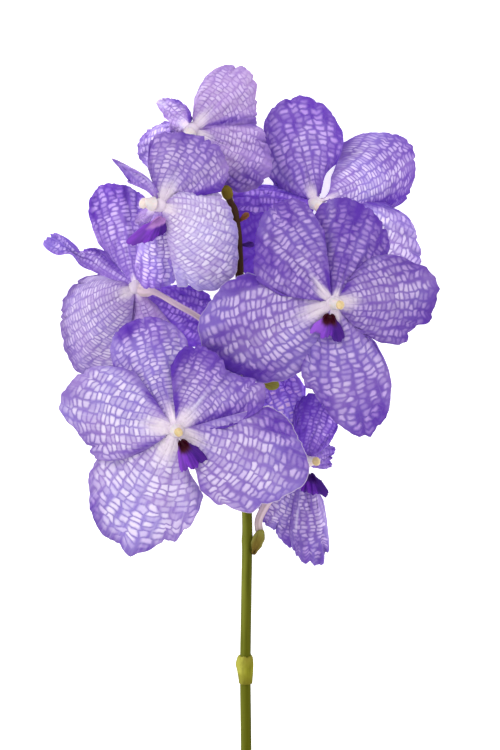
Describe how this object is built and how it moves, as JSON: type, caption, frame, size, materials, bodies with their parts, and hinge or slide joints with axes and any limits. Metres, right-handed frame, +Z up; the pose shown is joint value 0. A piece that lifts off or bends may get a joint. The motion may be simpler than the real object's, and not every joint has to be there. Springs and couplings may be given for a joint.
{
  "type": "cut vanda orchid",
  "caption": "Cut spray of a netted violet vanda orchid: flat open blooms on pedicels round a green stem, each with a dark lip and a pale column, lying on its back",
  "frame": {"origin": "centre of the bounding box on the table, z = 0", "axes": "+Y runs along the stem from its cut end to its tip, +Z up from the table, towards which the front blooms face, +X to the right of the stem as seen from above"},
  "size_m": [0.149, 0.3238, 0.0709],
  "materials": {
    "tepal": "soft petal, pale lavender netted in violet",
    "lip": "deep violet, faintly waxy",
    "column": "waxy cream with a yellow cap",
    "pedicel": "pale pinkish white",
    "bract": "papery yellow-brown",
    "stem": "green stem, brown at its upper end",
    "sheath": "papery yellow-green"
  },
  "bodies": {
    "root": {"stem": "stem", "stem_sheath": "sheath", "bloom_1_tepals": "tepal", "bloom_1_lip": "lip", "bloom_1_column": "column", "bloom_1_pedicel": "pedicel", "bract_1": "bract", "bloom_2_tepals": "tepal", "bloom_2_lip": "lip", "bloom_2_column": "column", "bloom_2_pedicel": "pedicel", "bract_2": "bract", "bloom_3_tepals": "tepal", "bloom_3_lip": "lip", "bloom_3_column": "column", "bloom_3_pedicel": "pedicel", "bract_3": "bract", "bloom_4_tepals": "tepal", "bloom_4_lip": "lip", "bloom_4_column": "column", "bloom_4_pedicel": "pedicel", "bract_4": "bract", "bloom_5_tepals": "tepal", "bloom_5_lip": "lip", "bloom_5_column": "column", "bloom_5_pedicel": "pedicel", "bract_5": "bract", "bloom_6_tepals": "tepal", "bloom_6_lip": "lip", "bloom_6_column": "column", "bloom_6_pedicel": "pedicel", "bract_6": "bract", "bloom_7_tepals": "tepal", "bloom_7_lip": "lip", "bloom_7_column": "column", "bloom_7_pedicel": "pedicel", "bract_7": "bract"}
  },
  "joints": []
}
